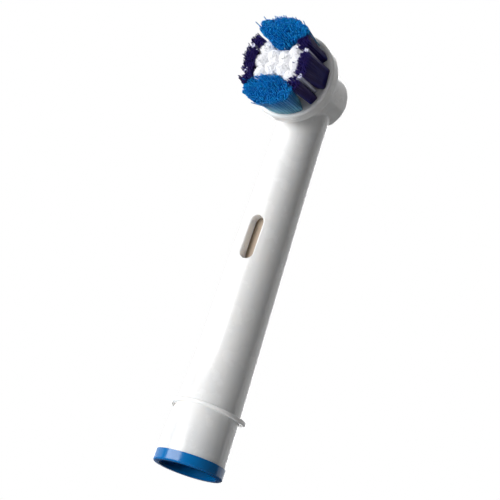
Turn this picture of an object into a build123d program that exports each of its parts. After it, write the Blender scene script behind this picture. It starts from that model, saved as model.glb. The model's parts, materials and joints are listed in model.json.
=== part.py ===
from build123d import *
from dataclasses import dataclass
from math import cos, radians, sin
import os

# Replacement head for an oscillating electric toothbrush.
# Millimetres. The origin is the centre of the colour ring's underside, +Z runs up the neck,
# and the bristles face -Y. The brush plate turns on an axis parallel to Y.

# Fits
SEAT_FIT = 0.03
RUNNING_FIT = 0.05
AXIAL_GAP = 0.1

# Cuts run this far past the faces that they open
OVERRUN = 1.0

# Colour ring at the foot of the neck
RING_OUTER_R = 6.55
RING_BAND_HEIGHT = 2.1
RING_BORE_R = 5.1
RING_SLEEVE_WALL = 0.65
RING_SLEEVE_LENGTH = 4.1
RING_MOUTH_CHAMFER = 0.35
RING_EDGE_FILLET = 0.35
BEAD_HEIGHT = 0.2
BEAD_WIDTH = 0.9
BEAD_CREST = 0.3
BEAD_ABOVE_BAND = 2.2

# Neck outline: ovals at even steps from the ring to the housing, each with its half width,
# its half depth and how far its middle sits back
NECK_TOP_BELOW_AXIS = 2.0
NECK_OVALS = (
    (6.36, 6.36, -0.05),
    (6.05, 6.10, 0.15),
    (5.62, 5.80, 0.49),
    (5.36, 5.56, 0.42),
    (5.20, 5.40, 0.18),
    (4.99, 5.19, 0.04),
    (4.77, 4.97, -0.08),
    (4.57, 4.77, -0.20),
    (4.38, 4.62, -0.27),
    (4.55, 4.70, -0.50),
)

# Collar: an oval ledge, arched so that it is higher at the front and back than at the sides
COLLAR_HALF_WIDTH = 7.05
COLLAR_HALF_DEPTH = 6.6
COLLAR_SET_BACK = 0.7
COLLAR_TOP_MIDDLE = 12.1
COLLAR_TOP_SIDE = 11.5
COLLAR_BOTTOM_MIDDLE = 11.25
COLLAR_BOTTOM_SIDE = 10.6
COLLAR_EDGE_FILLET = 0.3

# Drain window in the front of the neck
WINDOW_MIDDLE = 43.35
WINDOW_LENGTH = 8.3
WINDOW_WIDTH = 2.5
WINDOW_EDGE_FILLET = 0.2

# Hollow of the neck
SOCKET_FOOT_R = 5.2
SOCKET_HEAD_R = 4.2
SOCKET_TOP = 20.5
SHAFT_BORE_R = 3.1

# Socket insert that grips the handle's stub
INSERT_BOTTOM = 7.5
INSERT_LENGTH = 10.8
INSERT_BORE_R = 3.8
INSERT_MOUTH_CHAMFER = 0.3
KEYWAY_WIDTH = 1.2
KEYWAY_DEPTH = 0.45
KEYWAY_LENGTH = 5.0
LUG_WIDTH = 1.6
LUG_HEIGHT = 1.5
LUG_REACH = 0.35
LUG_MIDDLE = 16.5

# Head housing at the top of the neck
HEAD_HEIGHT = 72.85
HOUSING_R = 5.6
HOUSING_FRONT = -6.7
HOUSING_BACK = 4.3
HOUSING_BACK_FILLET = 2.0
HOUSING_BORE_BACK = 2.1
CHIN_FILLET = 0.8

# Brush plate and its hub
PLATE_R = 8.2
PLATE_THICKNESS = 2.7
PLATE_FRONT_FILLET = 0.5
PLATE_BACK_FILLET = 0.6
HUB_R = 3.5
HUB_BACK = 1.9
HUB_LIP = 0.25
HUB_LIP_LENGTH = 1.0
HUB_BORE_DEPTH = 8.3

# Slip washer between plate and housing
WASHER_THICKNESS = 0.3
WASHER_WIDTH = 1.4

# Fixed axle of the plate
AXLE_R = 0.8
AXLE_SEAT_DEPTH = 1.6
AXLE_END_FILLET = 0.2

# Crank: a ball-ended pin in a groove of the hub
CRANK_OFFSET = 2.0
CRANK_BELOW_AXIS = 2.55
BALL_R = 0.6
BALL_CLEARANCE = 0.08
BALL_END_CLEARANCE = 0.15
CRANK_SWING = 28.0
CRANK_RATIO = 1.38
CRANK_PIN_R = 0.35
CRANK_PIN_SEAT = 1.4
CRANK_HEAD_R = 2.75
CRANK_HEAD_THICKNESS = 1.8
CRANK_HEAD_BELOW_HUB = 0.8

# Drive shaft
SHAFT_R = 2.75
SHAFT_FLANGE_R = 2.95
SHAFT_FLANGE_THICKNESS = 0.8
SHAFT_BODY_LENGTH = 24.0
SHAFT_TAPER_LENGTH = 3.0
SHAFT_JOURNAL_R = 1.5
SHAFT_FOOT_R = 1.3
SHAFT_TIP_R = 0.9
UPPER_BUSH_BELOW_CRANK = 2.9
UPPER_BUSH_LENGTH = 3.0

# Coupler that takes the handle's drive shaft
COUPLER_BOTTOM = 18.9
COUPLER_R = 2.9
COUPLER_CUP_LENGTH = 7.5
COUPLER_JOURNAL_R = 2.4
COUPLER_JOURNAL_LENGTH = 4.2
DRIVE_BORE_R = 1.95
DRIVE_BORE_DEPTH = 7.0
DRIVE_BORE_FLAT = 1.66
DRIVE_BORE_CHAMFER = 0.3
COUPLER_SLIT = 0.5
COUPLER_SLIT_LENGTH = 5.0
CLIP_THICKNESS = 0.3
CLIP_HEIGHT = 1.6
CLIP_BOTTOM = 20.4
CLIP_OPENING_ANGLE = 60.0
LOWER_BUSH_LENGTH = 3.4
LOWER_BUSH_ABOVE_CUP = 0.4

# Bristle tufts. Radii and angles are measured round the plate axis, angle 0 on the right.
# A rim margin is from the root's outer side to the plate's edge.
TUFT_ROOT = 1.9
HOLE_FLOOR_GAP = 0.05
WHITE_LENGTH = 7.2
WHITE_ROOT_R = 0.85
WHITE_TIP_R = 0.95
WHITE_MIDDLE_R = 1.56
WHITE_MIDDLE_COUNT = 4
WHITE_SIDE_R = 3.55
WHITE_CORNER_R = 3.85
WHITE_CORNER_ANGLE = 38.5
CLEAR_LENGTH = 7.4
CLEAR_ROOT_R = 0.32
CLEAR_TIP_R = 0.37
CLEAR_RIM_MARGIN = 1.9
CLEAR_ANGLE = 24.5
INDIGO_LENGTH = 7.5
INDIGO_RIM_MARGIN = 0.9
INDIGO_DEPTH = 1.8
INDIGO_CORNER = 0.4
INDIGO_END_ANGLE = 37.0
INDIGO_END_TIP_ANGLE = 39.5
INDIGO_END_WIDTH = 1.8
INDIGO_END_TIP_R = 5.9
INDIGO_MIDDLE_WIDTH = 3.8
INDIGO_MIDDLE_TIP_R = 5.5
INDIGO_TIP_SPREAD = 0.2

# The two arc tufts are lens-shaped: round outside, and bulging towards the plate axis inside
ARC_LENGTH = 7.8
ARC_RIM_MARGIN = 0.8
ARC_HALF_ANGLE = 33.0
ARC_END_DEPTH = 1.9
ARC_INNER_MIDDLE = 3.2
ARC_CORNER = 0.5
ARC_TIP_OUTER_R = 8.1
ARC_TIP_HALF_ANGLE = 37.0
ARC_TIP_INNER_END_R = 6.4
ARC_TIP_INNER_MIDDLE = 2.6
ANCHOR_LENGTH = 1.4
ANCHOR_THICKNESS = 0.25
ANCHOR_HEIGHT = 0.8

# The plate is modelled this many degrees from the middle of its swing, its right side up
REST_TURN = 4.0

# Sizes that follow from the ones above
RING_SLEEVE_R = RING_BORE_R + RING_SLEEVE_WALL
RING_SLEEVE_TOP = RING_BAND_HEIGHT + RING_SLEEVE_LENGTH
BEAD_Z = RING_BAND_HEIGHT + BEAD_ABOVE_BAND
INSERT_TOP = INSERT_BOTTOM + INSERT_LENGTH
NECK_STEP = (HEAD_HEIGHT - NECK_TOP_BELOW_AXIS - RING_BAND_HEIGHT) / (len(NECK_OVALS) - 1)
WASHER_BACK = HOUSING_FRONT - AXIAL_GAP / 2
PLATE_BACK = WASHER_BACK - WASHER_THICKNESS - AXIAL_GAP / 2
PLATE_FRONT = PLATE_BACK - PLATE_THICKNESS
HOUSING_BORE_R = HUB_R + RUNNING_FIT
HUB_BOTTOM = HEAD_HEIGHT - HUB_R
BALL_Z = HEAD_HEIGHT - CRANK_BELOW_AXIS
CRANK_HEAD_TOP = HUB_BOTTOM - CRANK_HEAD_BELOW_HUB
CRANK_HEAD_BOTTOM = CRANK_HEAD_TOP - CRANK_HEAD_THICKNESS
UPPER_BUSH_TOP = CRANK_HEAD_BOTTOM - UPPER_BUSH_BELOW_CRANK
COUPLER_CUP_TOP = COUPLER_BOTTOM + COUPLER_CUP_LENGTH
COUPLER_TOP = COUPLER_CUP_TOP + COUPLER_JOURNAL_LENGTH
LOWER_BUSH_BOTTOM = COUPLER_CUP_TOP + LOWER_BUSH_ABOVE_CUP
SHAFT_BODY_TOP = COUPLER_TOP + SHAFT_BODY_LENGTH
ANCHOR_BOTTOM = PLATE_FRONT + TUFT_ROOT
CLEAR_RING_R = PLATE_R - CLEAR_RIM_MARGIN - CLEAR_ROOT_R
INDIGO_RING_R = PLATE_R - INDIGO_RIM_MARGIN - INDIGO_DEPTH / 2
ARC_OUTER_R = PLATE_R - ARC_RIM_MARGIN
ARC_INNER_END_R = ARC_OUTER_R - ARC_END_DEPTH


def turned(points):
    """Solid turned about Z from (radius, height) points."""
    outline = Plane.XZ * make_face(Polyline(*points, close=True))
    return revolve(outline, Axis.Z)


def tube_z(outer_r, inner_r, bottom, top):
    return turned([(inner_r, bottom), (outer_r, bottom), (outer_r, top), (inner_r, top)])


def rod_z(radius, bottom, top):
    return Pos(0, 0, (bottom + top) / 2) * Cylinder(radius, top - bottom)


def rod_y(radius, front, back):
    """Cylinder on the plate axis, between two places along Y."""
    return Pos(0, (front + back) / 2, HEAD_HEIGHT) * Rot(90, 0, 0) * Cylinder(radius, back - front)


def socket_r(height):
    """Radius of the tapered socket in the foot of the neck."""
    share = (height - RING_SLEEVE_TOP) / (SOCKET_TOP - RING_SLEEVE_TOP)
    return SOCKET_FOOT_R + share * (SOCKET_HEAD_R - SOCKET_FOOT_R)


def neck_outline():
    """Smooth tapering neck, slightly oval and bowed back."""
    ovals = []
    for step, (half_width, half_depth, set_back) in enumerate(NECK_OVALS):
        height = RING_BAND_HEIGHT + step * NECK_STEP
        ovals.append(Pos(0, set_back, height) * Ellipse(half_width, half_depth))
    return loft(ovals)


def collar():
    """Oval ledge whose top and underside are shallow arches across the width."""
    reach = COLLAR_HALF_WIDTH
    top = ThreePointArc((-reach, COLLAR_TOP_SIDE), (0, COLLAR_TOP_MIDDLE), (reach, COLLAR_TOP_SIDE))
    right = Line((reach, COLLAR_TOP_SIDE), (reach, COLLAR_BOTTOM_SIDE))
    bottom = ThreePointArc(
        (reach, COLLAR_BOTTOM_SIDE), (0, COLLAR_BOTTOM_MIDDLE), (-reach, COLLAR_BOTTOM_SIDE)
    )
    left = Line((-reach, COLLAR_BOTTOM_SIDE), (-reach, COLLAR_TOP_SIDE))
    arch = extrude(Plane.XZ * make_face([top, right, bottom, left]), COLLAR_HALF_WIDTH * 2, both=True)
    below = COLLAR_BOTTOM_SIDE - OVERRUN
    oval = Pos(0, COLLAR_SET_BACK, below) * Ellipse(COLLAR_HALF_WIDTH, COLLAR_HALF_DEPTH)
    ledge = arch & extrude(oval, COLLAR_TOP_MIDDLE + OVERRUN - below)
    rims = [edge for edge in ledge.edges() if edge.length > COLLAR_HALF_WIDTH]
    return fillet(rims, COLLAR_EDGE_FILLET)


def housing():
    """Round housing that carries the brush plate."""
    body = rod_y(HOUSING_R, HOUSING_FRONT, HOUSING_BACK)
    back_edge = body.edges().sort_by(Axis.Y)[-1]
    return fillet(back_edge, HOUSING_BACK_FILLET)


def neck_shell():
    """Neck and housing as one moulding, with the chin under the plate rounded."""
    joined = neck_outline() + housing()
    low_edges = []
    for edge in joined.edges():
        place = edge.center()
        below_plate = HEAD_HEIGHT - HOUSING_R - OVERRUN < place.Z < HEAD_HEIGHT
        if below_plate and edge.length > HOUSING_R * 2:
            low_edges.append(edge)
    return fillet(low_edges, CHIN_FILLET)


def neck_hollow():
    """Counterbore for the ring's sleeve, tapered socket and shaft bore, on one axis."""
    sleeve_r = RING_SLEEVE_R + SEAT_FIT
    sleeve_top = RING_SLEEVE_TOP + AXIAL_GAP
    below = RING_BAND_HEIGHT - OVERRUN
    return turned([
        (0, below),
        (sleeve_r, below),
        (sleeve_r, BEAD_Z - BEAD_WIDTH / 2),
        (sleeve_r + BEAD_HEIGHT, BEAD_Z - BEAD_CREST / 2),
        (sleeve_r + BEAD_HEIGHT, BEAD_Z + BEAD_CREST / 2),
        (sleeve_r, BEAD_Z + BEAD_WIDTH / 2),
        (sleeve_r, sleeve_top),
        (socket_r(sleeve_top), sleeve_top),
        (SOCKET_HEAD_R, SOCKET_TOP),
        (SHAFT_BORE_R, SOCKET_TOP),
        (SHAFT_BORE_R, BALL_Z),
        (0, BALL_Z),
    ])


def housing_hollow():
    """Bearing bore for the hub, with a groove for its snap lip and a seat for the axle."""
    bore = rod_y(HOUSING_BORE_R, HOUSING_FRONT - OVERRUN, HOUSING_BORE_BACK)
    lip_front = HUB_BACK - HUB_LIP_LENGTH - AXIAL_GAP * 2
    groove = rod_y(HUB_R + HUB_LIP + RUNNING_FIT * 2, lip_front, HOUSING_BORE_BACK)
    seat = rod_y(AXLE_R, HOUSING_BORE_BACK, HOUSING_BORE_BACK + AXLE_SEAT_DEPTH)
    return bore + groove + seat


def window():
    """Slot through the front wall, from outside the neck to its axis."""
    slot = SlotOverall(WINDOW_LENGTH, WINDOW_WIDTH, rotation=90)
    return extrude(Plane.XZ * Pos(0, WINDOW_MIDDLE) * slot, HOUSING_R * 2)


def lugs(play):
    """Two snap lugs on the insert's sides. With play they are the pockets in the neck."""
    reach = socket_r(LUG_MIDDLE) - SEAT_FIT + LUG_REACH + play
    block = Box(reach * 2, LUG_WIDTH + play * 2, LUG_HEIGHT + play * 2)
    return Pos(0, 0, LUG_MIDDLE) * block


def neck_tube():
    shell = neck_shell() + collar()
    shell -= neck_hollow()
    shell -= housing_hollow()
    shell -= window()
    shell -= lugs(RUNNING_FIT)
    rim = []
    for edge in shell.edges():
        place = edge.center()
        near_window = abs(place.Z - WINDOW_MIDDLE) < WINDOW_LENGTH
        outside = place.Y < -SHAFT_BORE_R - WINDOW_EDGE_FILLET
        if near_window and outside and edge.length > WINDOW_WIDTH / 2:
            rim.append(edge)
    return fillet(rim, WINDOW_EDGE_FILLET)


def colour_ring():
    """Band flush with the neck, and a sleeve with a snap bead that goes up inside it."""
    ring = turned([
        (RING_BORE_R, 0),
        (RING_OUTER_R, 0),
        (RING_OUTER_R, RING_BAND_HEIGHT),
        (RING_SLEEVE_R, RING_BAND_HEIGHT),
        (RING_SLEEVE_R, BEAD_Z - BEAD_WIDTH / 2),
        (RING_SLEEVE_R + BEAD_HEIGHT, BEAD_Z - BEAD_CREST / 2),
        (RING_SLEEVE_R + BEAD_HEIGHT, BEAD_Z + BEAD_CREST / 2),
        (RING_SLEEVE_R, BEAD_Z + BEAD_WIDTH / 2),
        (RING_SLEEVE_R, RING_SLEEVE_TOP),
        (RING_BORE_R, RING_SLEEVE_TOP),
    ])
    foot = ring.edges().group_by(Axis.Z)[0].sort_by(SortBy.RADIUS)
    ring = fillet(foot[-1], RING_EDGE_FILLET)
    foot = ring.edges().group_by(Axis.Z)[0].sort_by(SortBy.RADIUS)
    return chamfer(foot[0], RING_MOUTH_CHAMFER)


def socket_insert():
    """Tapered liner with a plain bore, two lead-in keyways and two snap lugs."""
    foot_r = socket_r(INSERT_BOTTOM) - SEAT_FIT
    head_r = socket_r(INSERT_TOP) - SEAT_FIT
    insert = turned([
        (0, INSERT_BOTTOM), (foot_r, INSERT_BOTTOM), (head_r, INSERT_TOP), (0, INSERT_TOP)
    ])
    insert += lugs(0)
    insert -= turned([
        (0, INSERT_BOTTOM - OVERRUN),
        (INSERT_BORE_R + INSERT_MOUTH_CHAMFER, INSERT_BOTTOM - OVERRUN),
        (INSERT_BORE_R + INSERT_MOUTH_CHAMFER, INSERT_BOTTOM),
        (INSERT_BORE_R, INSERT_BOTTOM + INSERT_MOUTH_CHAMFER),
        (INSERT_BORE_R, INSERT_TOP + OVERRUN),
        (0, INSERT_TOP + OVERRUN),
    ])
    keyway = Box(KEYWAY_WIDTH, (INSERT_BORE_R + KEYWAY_DEPTH) * 2, KEYWAY_LENGTH * 2)
    return insert - Pos(0, 0, INSERT_BOTTOM) * keyway


def lower_bush():
    top = LOWER_BUSH_BOTTOM + LOWER_BUSH_LENGTH
    return tube_z(SHAFT_BORE_R - SEAT_FIT, COUPLER_JOURNAL_R + RUNNING_FIT, LOWER_BUSH_BOTTOM, top)


def upper_bush():
    bottom = UPPER_BUSH_TOP - UPPER_BUSH_LENGTH
    return tube_z(SHAFT_BORE_R - SEAT_FIT, SHAFT_JOURNAL_R + RUNNING_FIT, bottom, UPPER_BUSH_TOP)


def plate_axle():
    """Steel pin pressed into the housing's back wall, running into the hub."""
    back = HOUSING_BORE_BACK + AXLE_SEAT_DEPTH
    front = HUB_BACK - HUB_BORE_DEPTH + AXIAL_GAP * 2
    pin = rod_y(AXLE_R, front, back)
    return fillet(pin.edges().sort_by(Axis.Y)[0], AXLE_END_FILLET)


def slip_washer():
    inner_r = HUB_R + RUNNING_FIT * 2
    disc = rod_y(inner_r + WASHER_WIDTH, WASHER_BACK - WASHER_THICKNESS, WASHER_BACK)
    return disc - rod_y(inner_r, WASHER_BACK - WASHER_THICKNESS, WASHER_BACK)


def drive_coupler():
    """Cup with a D-shaped bore and a clamping slit, turning on its upper journal."""
    coupler = rod_z(COUPLER_R, COUPLER_BOTTOM, COUPLER_CUP_TOP)
    coupler += rod_z(COUPLER_JOURNAL_R, COUPLER_CUP_TOP, COUPLER_TOP)
    bore_top = COUPLER_BOTTOM + DRIVE_BORE_DEPTH
    bore = turned([
        (0, COUPLER_BOTTOM - OVERRUN),
        (DRIVE_BORE_R + DRIVE_BORE_CHAMFER, COUPLER_BOTTOM - OVERRUN),
        (DRIVE_BORE_R + DRIVE_BORE_CHAMFER, COUPLER_BOTTOM),
        (DRIVE_BORE_R, COUPLER_BOTTOM + DRIVE_BORE_CHAMFER),
        (DRIVE_BORE_R, bore_top),
        (0, bore_top),
    ])
    keep = Pos(0, DRIVE_BORE_FLAT + DRIVE_BORE_R, COUPLER_BOTTOM + DRIVE_BORE_DEPTH)
    flat = keep * Box(DRIVE_BORE_R * 4, DRIVE_BORE_R * 2, (DRIVE_BORE_DEPTH - DRIVE_BORE_CHAMFER) * 2)
    coupler -= bore - flat
    slit = Box(COUPLER_SLIT, COUPLER_R * 2, COUPLER_SLIT_LENGTH * 2)
    coupler -= Pos(0, -COUPLER_R, COUPLER_BOTTOM) * slit
    clip_top = CLIP_BOTTOM + CLIP_HEIGHT
    groove_r = COUPLER_R - CLIP_THICKNESS - SEAT_FIT
    coupler -= tube_z(COUPLER_R + OVERRUN, groove_r, CLIP_BOTTOM - SEAT_FIT, clip_top + SEAT_FIT)
    foot_hole = rod_z(SHAFT_FOOT_R + SEAT_FIT, COUPLER_CUP_TOP + AXIAL_GAP, COUPLER_TOP)
    return coupler - foot_hole


def coupler_clip():
    """Open steel band in the coupler's groove, closing its slit."""
    top = CLIP_BOTTOM + CLIP_HEIGHT
    band = tube_z(COUPLER_R, COUPLER_R - CLIP_THICKNESS, CLIP_BOTTOM, top)
    half = radians(CLIP_OPENING_ANGLE / 2)
    far = COUPLER_R * 2
    across = far * sin(half)
    ahead = far * cos(half)
    wedge = make_face(Polyline((0, 0), (across, -ahead), (-across, -ahead), close=True))
    return band - extrude(Pos(0, 0, CLIP_BOTTOM) * wedge, CLIP_HEIGHT)


def drive_shaft():
    """Moulded shaft from the coupler to the crank, seen through the drain window."""
    return turned([
        (0, COUPLER_CUP_TOP + AXIAL_GAP * 2),
        (SHAFT_FOOT_R, COUPLER_CUP_TOP + AXIAL_GAP * 2),
        (SHAFT_FOOT_R, COUPLER_TOP),
        (SHAFT_FLANGE_R, COUPLER_TOP),
        (SHAFT_FLANGE_R, COUPLER_TOP + SHAFT_FLANGE_THICKNESS),
        (SHAFT_R, COUPLER_TOP + SHAFT_FLANGE_THICKNESS),
        (SHAFT_R, SHAFT_BODY_TOP),
        (SHAFT_JOURNAL_R, SHAFT_BODY_TOP + SHAFT_TAPER_LENGTH),
        (SHAFT_JOURNAL_R, CRANK_HEAD_BOTTOM),
        (SHAFT_TIP_R, CRANK_HEAD_BOTTOM),
        (SHAFT_TIP_R, CRANK_HEAD_TOP),
        (0, CRANK_HEAD_TOP),
    ])


def crank_head():
    head = rod_z(CRANK_HEAD_R, CRANK_HEAD_BOTTOM, CRANK_HEAD_TOP)
    head -= rod_z(SHAFT_TIP_R + SEAT_FIT, CRANK_HEAD_BOTTOM, CRANK_HEAD_TOP)
    seat_bottom = CRANK_HEAD_TOP - CRANK_PIN_SEAT - SEAT_FIT
    return head - Pos(0, -CRANK_OFFSET, 0) * rod_z(CRANK_PIN_R + SEAT_FIT, seat_bottom, CRANK_HEAD_TOP)


def crank_pin():
    """Steel pin with a ball end that works in the hub's groove."""
    shank = rod_z(CRANK_PIN_R, CRANK_HEAD_TOP - CRANK_PIN_SEAT, BALL_Z)
    ball = Pos(0, 0, BALL_Z) * Sphere(BALL_R)
    return Pos(0, -CRANK_OFFSET, 0) * (shank + ball)


@dataclass
class Tuft:
    """One tuft: its root and tip outlines on the plate, each (right, up) from the axis."""
    name: str
    root: Sketch
    tip: Sketch
    length: float
    anchor_at: tuple = None


def polar(radius, angle):
    return radius * cos(radians(angle)), radius * sin(radians(angle))


def round_tuft(name, place, root_r, tip_r, length):
    root = Pos(*place) * Circle(root_r)
    tip = Pos(*place) * Circle(tip_r)
    return Tuft(name, root, tip, length, place)


def block_outline(ring_r, angle, width):
    """Rounded block that faces the plate axis."""
    block = RectangleRounded(INDIGO_DEPTH, width, INDIGO_CORNER)
    return Pos(*polar(ring_r, angle)) * Rot(0, 0, angle) * block


def end_block_tuft(name, middle, turn):
    """Narrow block beside an arc tuft."""
    root = block_outline(INDIGO_RING_R, middle + turn * INDIGO_END_ANGLE, INDIGO_END_WIDTH)
    tip_width = INDIGO_END_WIDTH + INDIGO_TIP_SPREAD
    tip = block_outline(INDIGO_END_TIP_R, middle + turn * INDIGO_END_TIP_ANGLE, tip_width)
    return Tuft(name, root, tip, INDIGO_LENGTH)


def middle_block_tuft(name, middle):
    """Wide block on the plate's left or right."""
    root = block_outline(INDIGO_RING_R, middle, INDIGO_MIDDLE_WIDTH)
    tip = block_outline(INDIGO_MIDDLE_TIP_R, middle, INDIGO_MIDDLE_WIDTH + INDIGO_TIP_SPREAD)
    return Tuft(name, root, tip, INDIGO_LENGTH)


def arc_outline(outer_r, half_angle, inner_end_r, inner_middle, middle):
    """Lens with rounded corners, centred on one direction."""
    start = middle - half_angle
    end = middle + half_angle
    outer = ThreePointArc(polar(outer_r, start), polar(outer_r, middle), polar(outer_r, end))
    inner = ThreePointArc(polar(inner_end_r, end), polar(inner_middle, middle), polar(inner_end_r, start))
    face = make_face([outer, Line(outer @ 1, inner @ 0), inner, Line(inner @ 1, outer @ 0)])
    return fillet(face.vertices(), ARC_CORNER)


def arc_tuft(name, middle):
    root = arc_outline(ARC_OUTER_R, ARC_HALF_ANGLE, ARC_INNER_END_R, ARC_INNER_MIDDLE, middle)
    tip = arc_outline(
        ARC_TIP_OUTER_R, ARC_TIP_HALF_ANGLE, ARC_TIP_INNER_END_R, ARC_TIP_INNER_MIDDLE, middle
    )
    return Tuft(name, root, tip, ARC_LENGTH)


def white_places():
    places = []
    for step in range(WHITE_MIDDLE_COUNT):
        places.append(polar(WHITE_MIDDLE_R, (step + 0.5) * 360 / WHITE_MIDDLE_COUNT))
    for side in (0, 180):
        places.append(polar(WHITE_SIDE_R, side))
        for turn in (-WHITE_CORNER_ANGLE, WHITE_CORNER_ANGLE):
            places.append(polar(WHITE_CORNER_R, side + turn))
    return places


def all_tufts():
    tufts = [arc_tuft("top_tuft", 90), arc_tuft("bottom_tuft", -90)]
    for side, middle, up in (("right", 0, 1), ("left", 180, -1)):
        for level, turn in (("upper", up), ("lower", -up)):
            name = side + "_" + level + "_tuft"
            tufts.append(end_block_tuft(name, middle, turn))
            place = polar(CLEAR_RING_R, middle + turn * CLEAR_ANGLE)
            name = "clear_" + side + "_" + level + "_tuft"
            tufts.append(round_tuft(name, place, CLEAR_ROOT_R, CLEAR_TIP_R, CLEAR_LENGTH))
        tufts.append(middle_block_tuft(side + "_middle_tuft", middle))
    for number, place in enumerate(white_places(), start=1):
        name = "white_tuft_" + str(number)
        tufts.append(round_tuft(name, place, WHITE_ROOT_R, WHITE_TIP_R, WHITE_LENGTH))
    return tufts


def face_plane(along_y):
    """Plane across the plate axis, seen from the bristle side, with +Z up."""
    return Plane(origin=(0, along_y, HEAD_HEIGHT), x_dir=(1, 0, 0), z_dir=(0, -1, 0))


def tuft_hole(tuft):
    outline = offset(tuft.root, SEAT_FIT)
    floor = PLATE_FRONT + TUFT_ROOT + HOLE_FLOOR_GAP
    return extrude(face_plane(floor) * outline, TUFT_ROOT + HOLE_FLOOR_GAP)


def anchor(tuft):
    """Small metal blade at the root of a round tuft."""
    place = face_plane(ANCHOR_BOTTOM - ANCHOR_HEIGHT / 2) * Pos(*tuft.anchor_at)
    return place * Box(ANCHOR_LENGTH, ANCHOR_THICKNESS, ANCHOR_HEIGHT)


def has_anchor(tuft):
    return tuft.anchor_at is not None and tuft.name.startswith("white")


def tuft_solid(tuft):
    """Straight root in its hole, then bristles that spread or lean to the tips."""
    root = extrude(face_plane(ANCHOR_BOTTOM) * tuft.root, TUFT_ROOT)
    spread = loft([face_plane(PLATE_FRONT) * tuft.root, face_plane(PLATE_FRONT - tuft.length) * tuft.tip])
    solid = root + spread
    if has_anchor(tuft):
        solid -= anchor(tuft)
    return solid


def brush_plate(tufts):
    """Round plate with its tuft holes, and the hub that turns in the housing."""
    disc = rod_y(PLATE_R, PLATE_FRONT, PLATE_BACK)
    rims = disc.edges().sort_by(Axis.Y)
    disc = fillet(rims[0], PLATE_FRONT_FILLET)
    disc = fillet(disc.edges().sort_by(Axis.Y)[-1], PLATE_BACK_FILLET)
    plate = disc + rod_y(HUB_R, PLATE_BACK, HUB_BACK)
    plate += rod_y(HUB_R + HUB_LIP, HUB_BACK - HUB_LIP_LENGTH, HUB_BACK)
    plate -= rod_y(AXLE_R + RUNNING_FIT, HUB_BACK - HUB_BORE_DEPTH, HUB_BACK)
    plate -= ball_groove()
    for tuft in tufts:
        plate -= tuft_hole(tuft)
    return plate


def ball_groove():
    """Groove in the underside of the hub, as long as the ball's sweep along Y."""
    room = BALL_R + BALL_END_CLEARANCE
    front = -CRANK_OFFSET - room
    back = -CRANK_OFFSET * cos(radians(CRANK_SWING)) + room
    top = BALL_Z + room
    bottom = HUB_BOTTOM - OVERRUN
    block = Box((BALL_R + BALL_CLEARANCE) * 2, back - front, top - bottom)
    return Pos(0, (front + back) / 2, (top + bottom) / 2) * block


def fixed_pieces():
    """What stays with the neck."""
    return {
        "neck_tube": neck_tube(),
        "colour_ring": colour_ring(),
        "socket_insert": socket_insert(),
        "lower_bush": lower_bush(),
        "upper_bush": upper_bush(),
        "plate_axle": plate_axle(),
        "slip_washer": slip_washer(),
    }


def shaft_pieces():
    """What twists with the drive shaft, turned to match the plate."""
    turn = Rot(0, 0, REST_TURN * CRANK_RATIO)
    return {
        "drive_coupler": turn * drive_coupler(),
        "coupler_clip": turn * coupler_clip(),
        "drive_shaft": turn * drive_shaft(),
        "crank_head": turn * crank_head(),
        "crank_pin": turn * crank_pin(),
    }


def plate_pieces():
    """What turns with the brush plate."""
    turn = Pos(0, 0, HEAD_HEIGHT) * Rot(0, -REST_TURN, 0) * Pos(0, 0, -HEAD_HEIGHT)
    tufts = all_tufts()
    blades = [turn * anchor(tuft) for tuft in tufts if has_anchor(tuft)]
    pieces = {"brush_plate": turn * brush_plate(tufts), "tuft_anchors": Compound(blades)}
    for tuft in tufts:
        pieces[tuft.name] = turn * tuft_solid(tuft)
    return pieces


def main():
    os.makedirs("parts", exist_ok=True)
    pieces = fixed_pieces() | shaft_pieces() | plate_pieces()
    for name, piece in pieces.items():
        export_step(piece, "parts/" + name + ".step")


if __name__ == "__main__":
    main()
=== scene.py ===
import json
import math

import bpy
import numpy as np
from mathutils import Matrix, Vector

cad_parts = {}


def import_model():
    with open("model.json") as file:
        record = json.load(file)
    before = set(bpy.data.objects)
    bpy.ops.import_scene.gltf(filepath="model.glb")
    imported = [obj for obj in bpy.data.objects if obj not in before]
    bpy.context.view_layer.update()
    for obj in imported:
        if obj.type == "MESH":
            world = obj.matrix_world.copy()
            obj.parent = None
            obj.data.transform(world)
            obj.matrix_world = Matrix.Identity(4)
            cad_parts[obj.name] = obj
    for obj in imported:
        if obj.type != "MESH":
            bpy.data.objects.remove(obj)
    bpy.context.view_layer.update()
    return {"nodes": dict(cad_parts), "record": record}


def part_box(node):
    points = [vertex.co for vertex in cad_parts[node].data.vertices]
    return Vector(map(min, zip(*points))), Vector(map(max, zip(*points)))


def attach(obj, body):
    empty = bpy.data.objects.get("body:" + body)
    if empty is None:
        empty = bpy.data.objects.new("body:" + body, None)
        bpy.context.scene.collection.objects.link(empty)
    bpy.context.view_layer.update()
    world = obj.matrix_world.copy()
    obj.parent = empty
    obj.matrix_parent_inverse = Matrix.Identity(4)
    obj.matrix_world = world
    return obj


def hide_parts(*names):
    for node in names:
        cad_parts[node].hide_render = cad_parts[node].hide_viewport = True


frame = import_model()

# Sizes in metres
MM = 0.001

# Plate: its axis, how far forward its front face is, and its turn from the middle of its swing
AXIS_HEIGHT = 72.85 * MM
PLATE_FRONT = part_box("brush_plate")[0].y
REST_TURN = 4.0

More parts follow.
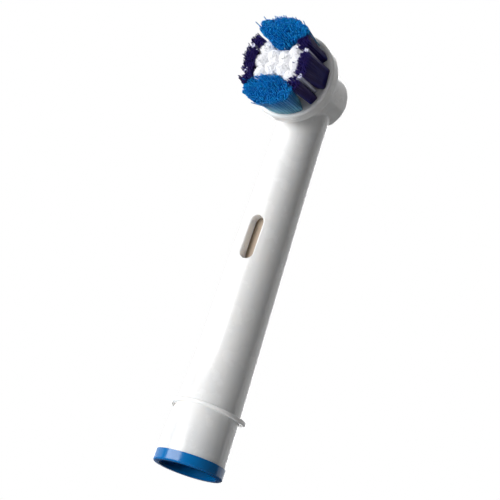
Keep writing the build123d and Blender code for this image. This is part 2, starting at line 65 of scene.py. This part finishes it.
# Filaments
FILAMENT_R = 0.085 * MM
FILAMENT_PITCH = 0.175 * MM
FILAMENT_RAGGED = 1.0
FINE_R = 0.11 * MM
FINE_PITCH = 0.125 * MM
FINE_RAGGED = 0.35
FILAMENT_SIDES = 6
FILAMENT_SUNK = 0.3 * MM
FILAMENT_STOPS = (0.0, 0.22, 0.45, 0.68, 0.88, 0.985)
TIP_DOME = 0.7
FINE_DOME = 0.9
LENGTH_SPREAD = 0.22 * MM
TIP_JITTER = 0.07 * MM
TIP_LEAN = (0.3 * MM, 0.0)
TUFT_LEANS = {
    "left_upper_tuft": (0.05 * MM, -0.5 * MM),
    "left_lower_tuft": (-0.6 * MM, 0.1 * MM),
    "left_middle_tuft": (-0.1 * MM, -0.3 * MM),
    "right_upper_tuft": (-0.1 * MM, 0.2 * MM),
}
CLUMP_SWAY = 0.16 * MM
CLUMP_SIZE = 0.9 * MM
STRAY_SHARE = 0.08
STRAY_REACH = 0.36 * MM
BEND_POWER = 1.25

# Closed middle of a white tuft. Its shoulder is given as shares of its tip's radius: how far
# below the end, and how wide.
CORE_SIDES = 20
CORE_DEPTH = 0.25 * MM
CORE_SHARE = 0.93
CORE_SHOULDER = ((0.35, 1.0), (0.12, 0.8), (0.0, 0.4))

# Tufts. Radii and angles are measured round the plate axis, angle 0 on the right.
ARC_LENGTH = 7.8 * MM
ARC_OUTER_R = 7.4 * MM
ARC_HALF_ANGLE = 33.0
ARC_INNER_END_R = 5.5 * MM
ARC_INNER_MIDDLE = 3.2 * MM
ARC_TIP_OUTER_R = 8.35 * MM
ARC_TIP_HALF_WIDTH = 4.9 * MM
TOP_TIP_MIDDLE = 1.8 * MM
TOP_TIP_END = 5.5 * MM
TOP_TIP_POWER = 1.1
BOTTOM_TIP_MIDDLE = 2.8 * MM
BOTTOM_TIP_END = 5.3 * MM
BOTTOM_TIP_POWER = 3.0
INDIGO_LENGTH = 7.5 * MM
INDIGO_RING_R = 6.4 * MM
INDIGO_DEPTH = 1.8 * MM
INDIGO_CORNER = 0.4 * MM
INDIGO_END_ANGLE = 37.0
INDIGO_END_TIP_ANGLE = 39.5
INDIGO_END_WIDTH = 1.8 * MM
INDIGO_END_TIP_WIDTH = 2.0 * MM
INDIGO_END_TIP_DEPTH = 2.6 * MM
INDIGO_END_TIP_R = 5.9 * MM
INDIGO_MIDDLE_WIDTH = 3.8 * MM
INDIGO_MIDDLE_TIP_WIDTH = 4.5 * MM
INDIGO_MIDDLE_TIP_DEPTH = 2.2 * MM
INDIGO_MIDDLE_TIP_R = 5.3 * MM
CLEAR_LENGTH = 7.4 * MM
CLEAR_RING_R = 5.98 * MM
CLEAR_ANGLE = 24.5
CLEAR_ROOT_R = 0.32 * MM
CLEAR_TIP_R = 0.45 * MM
WHITE_LENGTH = 7.2 * MM
WHITE_ROOT_R = 0.85 * MM
WHITE_TIP_R = 1.4 * MM
WHITE_DOME = 0.8 * MM
WHITE_MIDDLE_R = 1.56 * MM
WHITE_MIDDLE_COUNT = 4
WHITE_SIDE_R = 3.55 * MM
WHITE_CORNER_R = 3.85 * MM
WHITE_CORNER_ANGLE = 38.5

# Camera
CAMERA_AZIMUTH = 30.0
CAMERA_ELEVATION = -11.9
CAMERA_ROLL = 18.62
CAMERA_DISTANCE = 0.7
CAMERA_LENS = 279.5
AIM_HEIGHT = 40.35 * MM
AIM_RIGHT = -1.42 * MM
AIM_UP = 1.98 * MM

# Floor: half its side, its place just under the ring, and how it brightens with distance
FLOOR_SIZE = 3.0
FLOOR_HEIGHT = -0.25 * MM
FLOOR_NEAR = 0.06
FLOOR_FAR = 0.35
FLOOR_NEAR_GLOW = 0.8
FLOOR_FAR_GLOW = 1.0

# Light: the world's share, and where gloss begins to see its white (as a cosine from straight behind)
AMBIENT = 0.06
GLOSS_EDGE = 0.2
GLOSS_FULL = 0.3

# Lamps: name, azimuth, elevation, distance, width, height in metres, power in watts
LAMPS = (
    ("key", -30.0, -4.0, 1.2, 1.1, 0.8, 19.4),
    ("low", -20.0, -50.0, 1.0, 0.6, 0.6, 0.5),
    ("top", 0.0, 65.0, 1.2, 0.8, 0.8, 2.0),
    ("back", 212.0, 15.0, 1.2, 0.8, 0.8, 5.0),
)


def direction(azimuth, elevation):
    """Unit vector from the object towards a place round it, azimuth 0 being the front."""
    a = math.radians(azimuth)
    e = math.radians(elevation)
    return Vector((math.sin(a) * math.cos(e), -math.cos(a) * math.cos(e), math.sin(e)))


def node_tree(name):
    material = bpy.data.materials.new(name)
    material.use_nodes = True
    tree = material.node_tree
    return material, tree, tree.nodes["Principled BSDF"]


def add_node(tree, kind, **settings):
    node = tree.nodes.new(kind)
    for key, value in settings.items():
        if key in node.inputs:
            node.inputs[key].default_value = value
        else:
            setattr(node, key, value)
    return node


def noise(tree, scale, detail=3.0, stretch=(1.0, 1.0, 1.0)):
    """Noise in object space, stretched along an axis where its factor is small."""
    place = add_node(tree, "ShaderNodeTexCoord")
    mapping = add_node(tree, "ShaderNodeMapping")
    mapping.inputs["Scale"].default_value = stretch
    texture = add_node(tree, "ShaderNodeTexNoise", Scale=scale, Detail=detail)
    tree.links.new(place.outputs["Object"], mapping.inputs["Vector"])
    tree.links.new(mapping.outputs["Vector"], texture.inputs["Vector"])
    return texture.outputs["Fac"]


def ramp(tree, factor, stops):
    node = add_node(tree, "ShaderNodeValToRGB")
    elements = node.color_ramp.elements
    while len(elements) < len(stops):
        elements.new(0.5)
    for element, (position, colour) in zip(elements, stops):
        element.position = position
        element.color = (*colour, 1.0)
    tree.links.new(factor, node.inputs["Fac"])
    return node.outputs["Color"]


def level(tree, factor, low, high):
    """A factor from 0 to 1 turned into a number between low and high."""
    node = add_node(tree, "ShaderNodeMapRange")
    node.inputs["To Min"].default_value = low
    node.inputs["To Max"].default_value = high
    tree.links.new(factor, node.inputs["Value"])
    return node.outputs["Result"]


def bump(tree, shader, height, strength, distance):
    node = add_node(tree, "ShaderNodeBump", Strength=strength, Distance=distance)
    tree.links.new(height, node.inputs["Height"])
    tree.links.new(node.outputs["Normal"], shader.inputs["Normal"])


def moulded(name, colour, shade, roughness, subsurface=0.0, coat=0.0):
    """Moulded plastic: faint mottling, uneven gloss and a fine orange-peel skin."""
    material, tree, shader = node_tree(name)
    mottle = noise(tree, 90.0, stretch=(1.0, 1.0, 0.35))
    colours = ramp(tree, mottle, ((0.3, shade), (0.7, colour)))
    tree.links.new(colours, shader.inputs["Base Color"])
    gloss = noise(tree, 260.0, detail=4.0)
    rough = level(tree, gloss, roughness * 0.8, roughness * 1.25)
    tree.links.new(rough, shader.inputs["Roughness"])
    shader.inputs["IOR"].default_value = 1.49
    shader.inputs["Subsurface Weight"].default_value = subsurface
    shader.inputs["Subsurface Radius"].default_value = (1.0, 0.92, 0.85)
    shader.inputs["Subsurface Scale"].default_value = 1.3 * MM
    shader.inputs["Coat Weight"].default_value = coat
    shader.inputs["Coat Roughness"].default_value = 0.04
    bump(tree, shader, noise(tree, 1400.0, detail=2.0), 0.12, 0.02 * MM)
    return material


def steel(name):
    """Drawn steel with fine scratches along its length."""
    material, tree, shader = node_tree(name)
    scratches = noise(tree, 900.0, detail=5.0, stretch=(1.0, 0.05, 1.0))
    colours = ramp(tree, scratches, ((0.35, (0.5, 0.5, 0.52)), (0.65, (0.68, 0.68, 0.7))))
    tree.links.new(colours, shader.inputs["Base Color"])
    tree.links.new(level(tree, scratches, 0.22, 0.4), shader.inputs["Roughness"])
    shader.inputs["Metallic"].default_value = 1.0
    bump(tree, shader, scratches, 0.1, 0.01 * MM)
    return material


def bristle(name, tip, root, dark, glow=0.0):
    """Nylon filaments: the colour runs from tip to root, and each has some of the dark tone. Where
    the root colour is lighter than the tip, as in the blue, it is painted light shining through the
    nylon.
    """
    material, tree, shader = node_tree(name)
    place = add_node(tree, "ShaderNodeTexCoord")
    split = add_node(tree, "ShaderNodeSeparateXYZ")
    tree.links.new(place.outputs["Object"], split.inputs["Vector"])
    along = add_node(tree, "ShaderNodeMapRange")
    along.inputs["From Min"].default_value = PLATE_FRONT
    along.inputs["From Max"].default_value = PLATE_FRONT - INDIGO_LENGTH
    tree.links.new(split.outputs["Y"], along.inputs["Value"])
    # Colour from root to tip; the blue's lighter root is painted light, standing in for light shining
    # through the translucent nylon and on the tufts' sides.
    length_colour_and_painted_light = ramp(tree, along.outputs["Result"], ((0.0, root), (0.75, tip)))
    island = add_node(tree, "ShaderNodeNewGeometry")
    tone = level(tree, island.outputs["Random Per Island"], 0.0, 0.7)
    mix = add_node(tree, "ShaderNodeMix", data_type="RGBA")
    for socket in mix.inputs:
        if socket.name == "B" and socket.type == "RGBA":
            socket.default_value = (*dark, 1.0)
        if socket.name == "A" and socket.type == "RGBA":
            tree.links.new(length_colour_and_painted_light, socket)
        if socket.name == "Factor" and socket.type == "VALUE":
            tree.links.new(tone, socket)
    mixed = [socket for socket in mix.outputs if socket.type == "RGBA"][0]
    tree.links.new(mixed, shader.inputs["Base Color"])
    shader.inputs["Roughness"].default_value = 0.38
    shader.inputs["IOR"].default_value = 1.53
    shader.inputs["Specular IOR Level"].default_value = 0.15
    shader.inputs["Subsurface Weight"].default_value = glow
    shader.inputs["Subsurface Radius"].default_value = (1.0, 1.0, 1.0)
    shader.inputs["Subsurface Scale"].default_value = 0.5 * MM
    bump(tree, shader, noise(tree, 2500.0, detail=2.0), 0.08, 0.01 * MM)
    return material


def polar(radius, angle):
    return radius * math.cos(math.radians(angle)), radius * math.sin(math.radians(angle))


def scatter(low, high, pitch, inside):
    """Hexagonal grid of places in a rectangle, kept where inside(place) is true."""
    places = []
    row_step = pitch * math.sqrt(3) / 2
    rows = int((high[1] - low[1]) / row_step) + 1
    columns = int((high[0] - low[0]) / pitch) + 1
    for row in range(rows):
        for column in range(columns):
            x = low[0] + (column + 0.5 * (row % 2)) * pitch
            y = low[1] + row * row_step
            if inside(x, y):
                places.append((x, y))
    return np.array(places)


def turned(places, degrees):
    """Places turned counter-clockwise round the plate axis."""
    turn = math.radians(degrees)
    across = places[:, 0] * math.cos(turn) - places[:, 1] * math.sin(turn)
    up = places[:, 0] * math.sin(turn) + places[:, 1] * math.cos(turn)
    return np.stack([across, up], axis=1)


class Sway:
    """Smooth random lean, so that neighbouring filaments clump together."""

    def __init__(self, random):
        self.waves = random.normal(0.0, 1.0 / CLUMP_SIZE, (8, 2))
        self.phases = random.uniform(0.0, 2 * math.pi, (8, 2))

    def __call__(self, places):
        turns = places @ self.waves.T
        lean = np.stack([np.sin(turns + self.phases[:, side]).sum(1) for side in (0, 1)], axis=1)
        return lean * CLUMP_SWAY / math.sqrt(8)


def tuft_piece(node, ending, vertices, faces, smooth, material):
    """A mesh that stands in for a tuft's solid and turns with the plate."""
    mesh = bpy.data.meshes.new(node + ending)
    mesh.from_pydata(vertices, [], faces)
    mesh.polygons.foreach_set("use_smooth", smooth)
    mesh.materials.append(material)
    piece = bpy.data.objects.new(node + ending, mesh)
    bpy.context.scene.collection.objects.link(piece)
    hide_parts(node)
    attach(piece, "plate")


def filaments(node, roots, tips, length, radius, blunt, ragged, material, seed):
    """One tuft as a mesh of separate filaments, each bending from its root to its flat tip."""
    random = np.random.RandomState(seed)
    count = len(roots)
    roots = turned(roots, REST_TURN)
    tips = turned(tips, REST_TURN) + TIP_LEAN + TUFT_LEANS.get(node, (0.0, 0.0))
    tips = tips + ragged * (Sway(random)(tips) + random.normal(0.0, TIP_JITTER, tips.shape))
    strays = random.uniform(0.0, 1.0, count) < STRAY_SHARE
    tips = tips + strays[:, None] * random.normal(0.0, STRAY_REACH, tips.shape)
    lengths = length + ragged * random.normal(0.0, LENGTH_SPREAD, count)
    angles = np.arange(FILAMENT_SIDES) * 2 * math.pi / FILAMENT_SIDES
    circle = np.stack([np.cos(angles), np.sin(angles)], axis=1) * radius
    rings = []
    for stop in FILAMENT_STOPS:
        centre = roots + (tips - roots) * stop ** BEND_POWER
        depth = PLATE_FRONT + FILAMENT_SUNK - (lengths + FILAMENT_SUNK) * stop
        ring = np.zeros((count, FILAMENT_SIDES, 3))
        ring[:, :, 0] = centre[:, None, 0] + circle[None, :, 0]
        ring[:, :, 1] = depth[:, None]
        ring[:, :, 2] = centre[:, None, 1] + circle[None, :, 1] + AXIS_HEIGHT
        rings.append(ring)
    middle = rings[-1].mean(axis=1, keepdims=True)
    dome = middle + (rings[-1] - middle) * blunt
    dome[:, :, 1] = (PLATE_FRONT - lengths)[:, None]
    rings.append(dome)
    per_filament = FILAMENT_SIDES * len(rings)
    vertices = np.stack(rings, axis=1).reshape(-1, 3)
    faces = []
    for filament in range(count):
        start = filament * per_filament
        for level_index in range(len(rings) - 1):
            low = start + level_index * FILAMENT_SIDES
            for side in range(FILAMENT_SIDES):
                other = (side + 1) % FILAMENT_SIDES
                high = low + FILAMENT_SIDES
                faces.append((low + side, low + other, high + other, high + side))
        faces.append(tuple(start + side for side in reversed(range(FILAMENT_SIDES))))
        top = start + per_filament - FILAMENT_SIDES
        faces.append(tuple(top + side for side in range(FILAMENT_SIDES)))
    smooth = [len(face) == 4 for face in faces]
    tuft_piece(node, "_bristles", vertices.tolist(), faces, smooth, material)


def inner_side(turn, half, end_r, middle_r):
    """How far from the axis an arc tuft begins, on the circle through its ends and its middle."""
    across = end_r * math.sin(half)
    up = end_r * math.cos(half)
    centre = (across ** 2 + up ** 2 - middle_r ** 2) / (2 * (up - middle_r))
    radius = centre - middle_r
    return centre * np.cos(turn) - np.sqrt(radius ** 2 - (centre * np.sin(turn)) ** 2)


def arc_tuft(node, up, tip_middle, tip_end, power, material, seed):
    """Lens-shaped tuft above or below the axis: round outside, bulging inside."""
    half = math.radians(ARC_HALF_ANGLE)
    reach = ARC_OUTER_R * math.sin(half)

    def inside(x, y):
        turn = math.atan2(x, y)
        if abs(turn) > half:
            return False
        low = inner_side(turn, half, ARC_INNER_END_R, ARC_INNER_MIDDLE)
        return low < math.hypot(x, y) < ARC_OUTER_R

    roots = scatter((-reach, 0.0), (reach, ARC_OUTER_R), FILAMENT_PITCH, inside)
    turn = np.arctan2(roots[:, 0], roots[:, 1])
    low = inner_side(turn, half, ARC_INNER_END_R, ARC_INNER_MIDDLE)
    outward = (np.hypot(roots[:, 0], roots[:, 1]) - low) / (ARC_OUTER_R - low)
    across = turn / half
    tip_low = tip_middle + (tip_end - tip_middle) * abs(across) ** power
    tip_high = np.sqrt(ARC_TIP_OUTER_R ** 2 - (across * ARC_TIP_HALF_WIDTH) ** 2)
    tips = np.stack([across * ARC_TIP_HALF_WIDTH, tip_low + outward * (tip_high - tip_low)], axis=1)
    roots *= up
    tips *= up
    filaments(node, roots, tips, ARC_LENGTH, FILAMENT_R, TIP_DOME, FILAMENT_RAGGED,
              material, seed)


def block_tuft(node, angle, width, tip_angle, tip_size, tip_ring_r, material, seed):
    """Rounded block of filaments that faces the plate axis."""
    size = np.array([INDIGO_DEPTH, width])
    half_depth, half_width = size / 2

    def inside(x, y):
        over_x = abs(x) - (half_depth - INDIGO_CORNER)
        over_y = abs(y) - (half_width - INDIGO_CORNER)
        return math.hypot(max(over_x, 0.0), max(over_y, 0.0)) < INDIGO_CORNER

    flat = scatter((-half_depth, -half_width), (half_depth, half_width), FILAMENT_PITCH, inside)
    roots = turned(flat, angle) + polar(INDIGO_RING_R, angle)
    tips = turned(flat * tip_size / size, tip_angle) + polar(tip_ring_r, tip_angle)
    filaments(node, roots, tips, INDIGO_LENGTH, FILAMENT_R, TIP_DOME, FILAMENT_RAGGED,
              material, seed)


def round_tuft(node, place, root_r, tip_r, length, dome, material, seed):
    """Round tuft whose middle filaments reach out a little further than its outer ones."""
    low = (-root_r, -root_r)
    high = (root_r, root_r)
    flat = scatter(low, high, FINE_PITCH, lambda x, y: math.hypot(x, y) < root_r)
    tips = flat * (tip_r / root_r) + place
    lengths = length - dome * ((flat / root_r) ** 2).sum(1)
    filaments(node, flat + place, tips, lengths, FINE_R, FINE_DOME, FINE_RAGGED, material, seed)


def core(node, place, root_r, tip_r, length, material):
    """Closed middle of a dense tuft, just short of the filament tips around it."""
    spot = np.array([place])
    root = turned(spot, REST_TURN)[0]
    tip = root + TIP_LEAN + TUFT_LEANS.get(node, (0.0, 0.0))
    reach = length - CORE_DEPTH
    stops = [(0.0, root_r), (reach * 0.5, (root_r + tip_r) / 2)]
    for below, width in CORE_SHOULDER:
        stops.append((reach - tip_r * below, tip_r * width))
    vertices = []
    for depth, radius in stops:
        middle = root + (tip - root) * (depth / reach) ** BEND_POWER
        for side in range(CORE_SIDES):
            across, up = polar(radius * CORE_SHARE, side * 360 / CORE_SIDES)
            vertices.append((middle[0] + across, PLATE_FRONT - depth, middle[1] + up + AXIS_HEIGHT))
    faces = []
    for low in range(0, len(vertices) - CORE_SIDES, CORE_SIDES):
        for side in range(CORE_SIDES):
            other = (side + 1) % CORE_SIDES
            faces.append((low + side, low + other, low + CORE_SIDES + other, low + CORE_SIDES + side))
    faces.append(tuple(reversed(range(CORE_SIDES))))
    faces.append(tuple(range(len(vertices) - CORE_SIDES, len(vertices))))
    tuft_piece(node, "_core", vertices, faces, [True] * len(faces), material)


def white_places():
    places = []
    for step in range(WHITE_MIDDLE_COUNT):
        places.append(polar(WHITE_MIDDLE_R, (step + 0.5) * 360 / WHITE_MIDDLE_COUNT))
    for side in (0, 180):
        places.append(polar(WHITE_SIDE_R, side))
        for turn in (-WHITE_CORNER_ANGLE, WHITE_CORNER_ANGLE):
            places.append(polar(WHITE_CORNER_R, side + turn))
    return places


def make_tufts():
    # The blue's lighter root colour (0.34, 0.85, 1.0) is painted light: light through the translucent
    # nylon and on the tufts' lit sides.
    blue = bristle("blue_nylon", (0.0, 0.28, 0.76), (0.34, 0.85, 1.0), (0.0, 0.15, 0.5), glow=0.5)
    indigo = bristle("indigo_nylon", (0.018, 0.014, 0.2), (0.014, 0.024, 0.24), (0.03, 0.004, 0.09))
    white = bristle("white_nylon", (0.97, 0.972, 0.985), (0.92, 0.93, 0.96), (0.9, 0.91, 0.95))
    clear = bristle("clear_nylon", (0.82, 0.84, 0.98), (0.84, 0.86, 0.98), (0.74, 0.76, 0.96))
    arc_tuft("top_tuft", 1.0, TOP_TIP_MIDDLE, TOP_TIP_END, TOP_TIP_POWER, blue, 11)
    arc_tuft("bottom_tuft", -1.0, BOTTOM_TIP_MIDDLE, BOTTOM_TIP_END, BOTTOM_TIP_POWER, blue, 12)
    end_tip = (INDIGO_END_TIP_DEPTH, INDIGO_END_TIP_WIDTH)
    middle_tip = (INDIGO_MIDDLE_TIP_DEPTH, INDIGO_MIDDLE_TIP_WIDTH)
    seed = 20
    for side, middle, up in (("right", 0, 1), ("left", 180, -1)):
        for place, turn in (("upper", up), ("lower", -up)):
            node = side + "_" + place + "_tuft"
            block_tuft(node, middle + turn * INDIGO_END_ANGLE, INDIGO_END_WIDTH,
                       middle + turn * INDIGO_END_TIP_ANGLE, end_tip, INDIGO_END_TIP_R, indigo, seed)
            spot = polar(CLEAR_RING_R, middle + turn * CLEAR_ANGLE)
            round_tuft("clear_" + node, spot, CLEAR_ROOT_R, CLEAR_TIP_R, CLEAR_LENGTH, 0.0,
                       clear, seed + 1)
            seed += 2
        block_tuft(side + "_middle_tuft", middle, INDIGO_MIDDLE_WIDTH,
                   middle, middle_tip, INDIGO_MIDDLE_TIP_R, indigo, seed)
        seed += 1
    for number, spot in enumerate(white_places(), start=1):
        node = "white_tuft_" + str(number)
        round_tuft(node, spot, WHITE_ROOT_R, WHITE_TIP_R, WHITE_LENGTH, WHITE_DOME,
                   white, 40 + number)
        core(node, spot, WHITE_ROOT_R, WHITE_TIP_R, WHITE_LENGTH, white)


def dress_nodes():
    """The carried-over solids get their moulded plastics and steel."""
    white = moulded("white_plastic", (0.9, 0.9, 0.895), (0.875, 0.873, 0.865), 0.26,
                    subsurface=0.5, coat=0.25)
    blue = moulded("blue_plastic", (0.0, 0.16, 0.46), (0.0, 0.14, 0.41), 0.2, coat=0.1)
    ivory = moulded("ivory_plastic", (0.62, 0.5, 0.38), (0.56, 0.45, 0.34), 0.42)
    plain = moulded("natural_plastic", (0.8, 0.79, 0.76), (0.74, 0.73, 0.7), 0.4)
    metal = steel("drawn_steel")
    looks = {
        "white_moulding": white,
        "blue_moulding": blue,
        "ivory_moulding": ivory,
        "insert_moulding": plain,
        "bearing_plastic": plain,
        "steel": metal,
    }
    for part in frame["record"]["subparts"]:
        look = looks.get(part["material_slot"])
        if look is None:
            continue
        node = frame["nodes"][part["node"]]
        node.data.materials.clear()
        node.data.materials.append(look)


def floor():
    """Pale floor, seen only from above, that fades to white and lets the low lamp reach the ring."""
    material = bpy.data.materials.new("pale_floor")
    material.use_nodes = True
    tree = material.node_tree
    tree.nodes.clear()
    output = add_node(tree, "ShaderNodeOutputMaterial")
    matte = add_node(tree, "ShaderNodeBsdfDiffuse", Color=(0.9, 0.9, 0.9, 1.0))
    glow = add_node(tree, "ShaderNodeEmission", Color=(1.0, 1.0, 1.0, 1.0), Strength=1.0)
    clear = add_node(tree, "ShaderNodeBsdfTransparent")
    path = add_node(tree, "ShaderNodeLightPath")
    side = add_node(tree, "ShaderNodeNewGeometry")
    place = add_node(tree, "ShaderNodeTexCoord")
    away = add_node(tree, "ShaderNodeVectorMath", operation="LENGTH")
    tree.links.new(place.outputs["Object"], away.inputs[0])
    fade = add_node(tree, "ShaderNodeMapRange")
    fade.inputs["From Min"].default_value = FLOOR_NEAR
    fade.inputs["From Max"].default_value = FLOOR_FAR
    fade.inputs["To Min"].default_value = FLOOR_NEAR_GLOW
    fade.inputs["To Max"].default_value = FLOOR_FAR_GLOW
    tree.links.new(away.outputs["Value"], fade.inputs["Value"])
    seen = add_node(tree, "ShaderNodeMath", operation="MULTIPLY")
    tree.links.new(path.outputs["Is Camera Ray"], seen.inputs[0])
    tree.links.new(fade.outputs["Result"], seen.inputs[1])
    pale = add_node(tree, "ShaderNodeMixShader")
    tree.links.new(seen.outputs[0], pale.inputs["Fac"])
    tree.links.new(matte.outputs[0], pale.inputs[1])
    tree.links.new(glow.outputs[0], pale.inputs[2])
    through = add_node(tree, "ShaderNodeMath", operation="MAXIMUM")
    tree.links.new(side.outputs["Backfacing"], through.inputs[0])
    tree.links.new(path.outputs["Is Shadow Ray"], through.inputs[1])
    whole = add_node(tree, "ShaderNodeMixShader")
    tree.links.new(through.outputs[0], whole.inputs["Fac"])
    tree.links.new(pale.outputs[0], whole.inputs[1])
    tree.links.new(clear.outputs[0], whole.inputs[2])
    tree.links.new(whole.outputs[0], output.inputs["Surface"])
    mesh = bpy.data.meshes.new("floor")
    signs = ((-1, -1), (1, -1), (1, 1), (-1, 1))
    corners = [(x * FLOOR_SIZE, y * FLOOR_SIZE, FLOOR_HEIGHT) for x, y in signs]
    mesh.from_pydata(corners, [], [(0, 1, 2, 3)])
    mesh.materials.append(material)
    plane = bpy.data.objects.new("floor", mesh)
    bpy.context.scene.collection.objects.link(plane)


def world():
    """Even ambient light, and plain white for what the camera sees.

    Gloss sees the white only behind the object, as in the photo.
    """
    made = bpy.data.worlds.new("studio")
    bpy.context.scene.world = made
    made.use_nodes = True
    tree = made.node_tree
    tree.nodes.clear()
    output = add_node(tree, "ShaderNodeOutputWorld")
    path = add_node(tree, "ShaderNodeLightPath")
    place = add_node(tree, "ShaderNodeTexCoord")
    facing = add_node(tree, "ShaderNodeVectorMath", operation="DOT_PRODUCT")
    facing.inputs[1].default_value = direction(CAMERA_AZIMUTH, CAMERA_ELEVATION) * -1.0
    tree.links.new(place.outputs["Generated"], facing.inputs[0])
    behind = add_node(tree, "ShaderNodeMapRange")
    behind.inputs["From Min"].default_value = GLOSS_EDGE
    behind.inputs["From Max"].default_value = GLOSS_FULL
    tree.links.new(facing.outputs["Value"], behind.inputs["Value"])
    gloss = add_node(tree, "ShaderNodeMath", operation="MULTIPLY")
    tree.links.new(path.outputs["Is Glossy Ray"], gloss.inputs[0])
    tree.links.new(behind.outputs["Result"], gloss.inputs[1])
    seen = add_node(tree, "ShaderNodeMath", operation="MAXIMUM")
    tree.links.new(path.outputs["Is Camera Ray"], seen.inputs[0])
    tree.links.new(gloss.outputs[0], seen.inputs[1])
    strength = level(tree, seen.outputs[0], AMBIENT, 1.0)
    background = add_node(tree, "ShaderNodeBackground", Color=(1.0, 1.0, 1.0, 1.0))
    tree.links.new(strength, background.inputs["Strength"])
    tree.links.new(background.outputs[0], output.inputs["Surface"])


def lamp(name, azimuth, elevation, distance, width, height, power):
    """Soft lamp aimed at the middle of the object."""
    back = direction(azimuth, elevation)
    data = bpy.data.lights.new(name, "AREA")
    data.shape = "RECTANGLE"
    data.size = width
    data.size_y = height
    data.energy = power
    light = bpy.data.objects.new(name, data)
    light.location = Vector((0.0, 0.0, AIM_HEIGHT)) + back * distance
    light.rotation_mode = "QUATERNION"
    light.rotation_quaternion = back.to_track_quat("Z", "Y")
    bpy.context.scene.collection.objects.link(light)


def camera():
    roll = math.radians(CAMERA_ROLL)
    back = direction(CAMERA_AZIMUTH, CAMERA_ELEVATION)
    level_right = Vector((-back.y, back.x, 0.0)).normalized()
    level_up = back.cross(level_right)
    right = level_right * math.cos(roll) + level_up * math.sin(roll)
    up = level_up * math.cos(roll) - level_right * math.sin(roll)
    aim = Vector((0.0, 0.0, AIM_HEIGHT)) + right * AIM_RIGHT + up * AIM_UP
    data = bpy.data.cameras.new("camera")
    data.sensor_width = 36.0
    data.lens = CAMERA_LENS
    data.clip_start = 0.01
    data.clip_end = 50.0
    made = bpy.data.objects.new("camera", data)
    made.matrix_world = Matrix.Translation(aim + back * CAMERA_DISTANCE) @ Matrix((
        (right.x, up.x, back.x, 0.0),
        (right.y, up.y, back.y, 0.0),
        (right.z, up.z, back.z, 0.0),
        (0.0, 0.0, 0.0, 1.0),
    ))
    bpy.context.scene.collection.objects.link(made)
    bpy.context.scene.camera = made


camera()
world()
for values in LAMPS:
    lamp(*values)
floor()
dress_nodes()
make_tufts()
bpy.context.scene.view_settings.view_transform = "Standard"
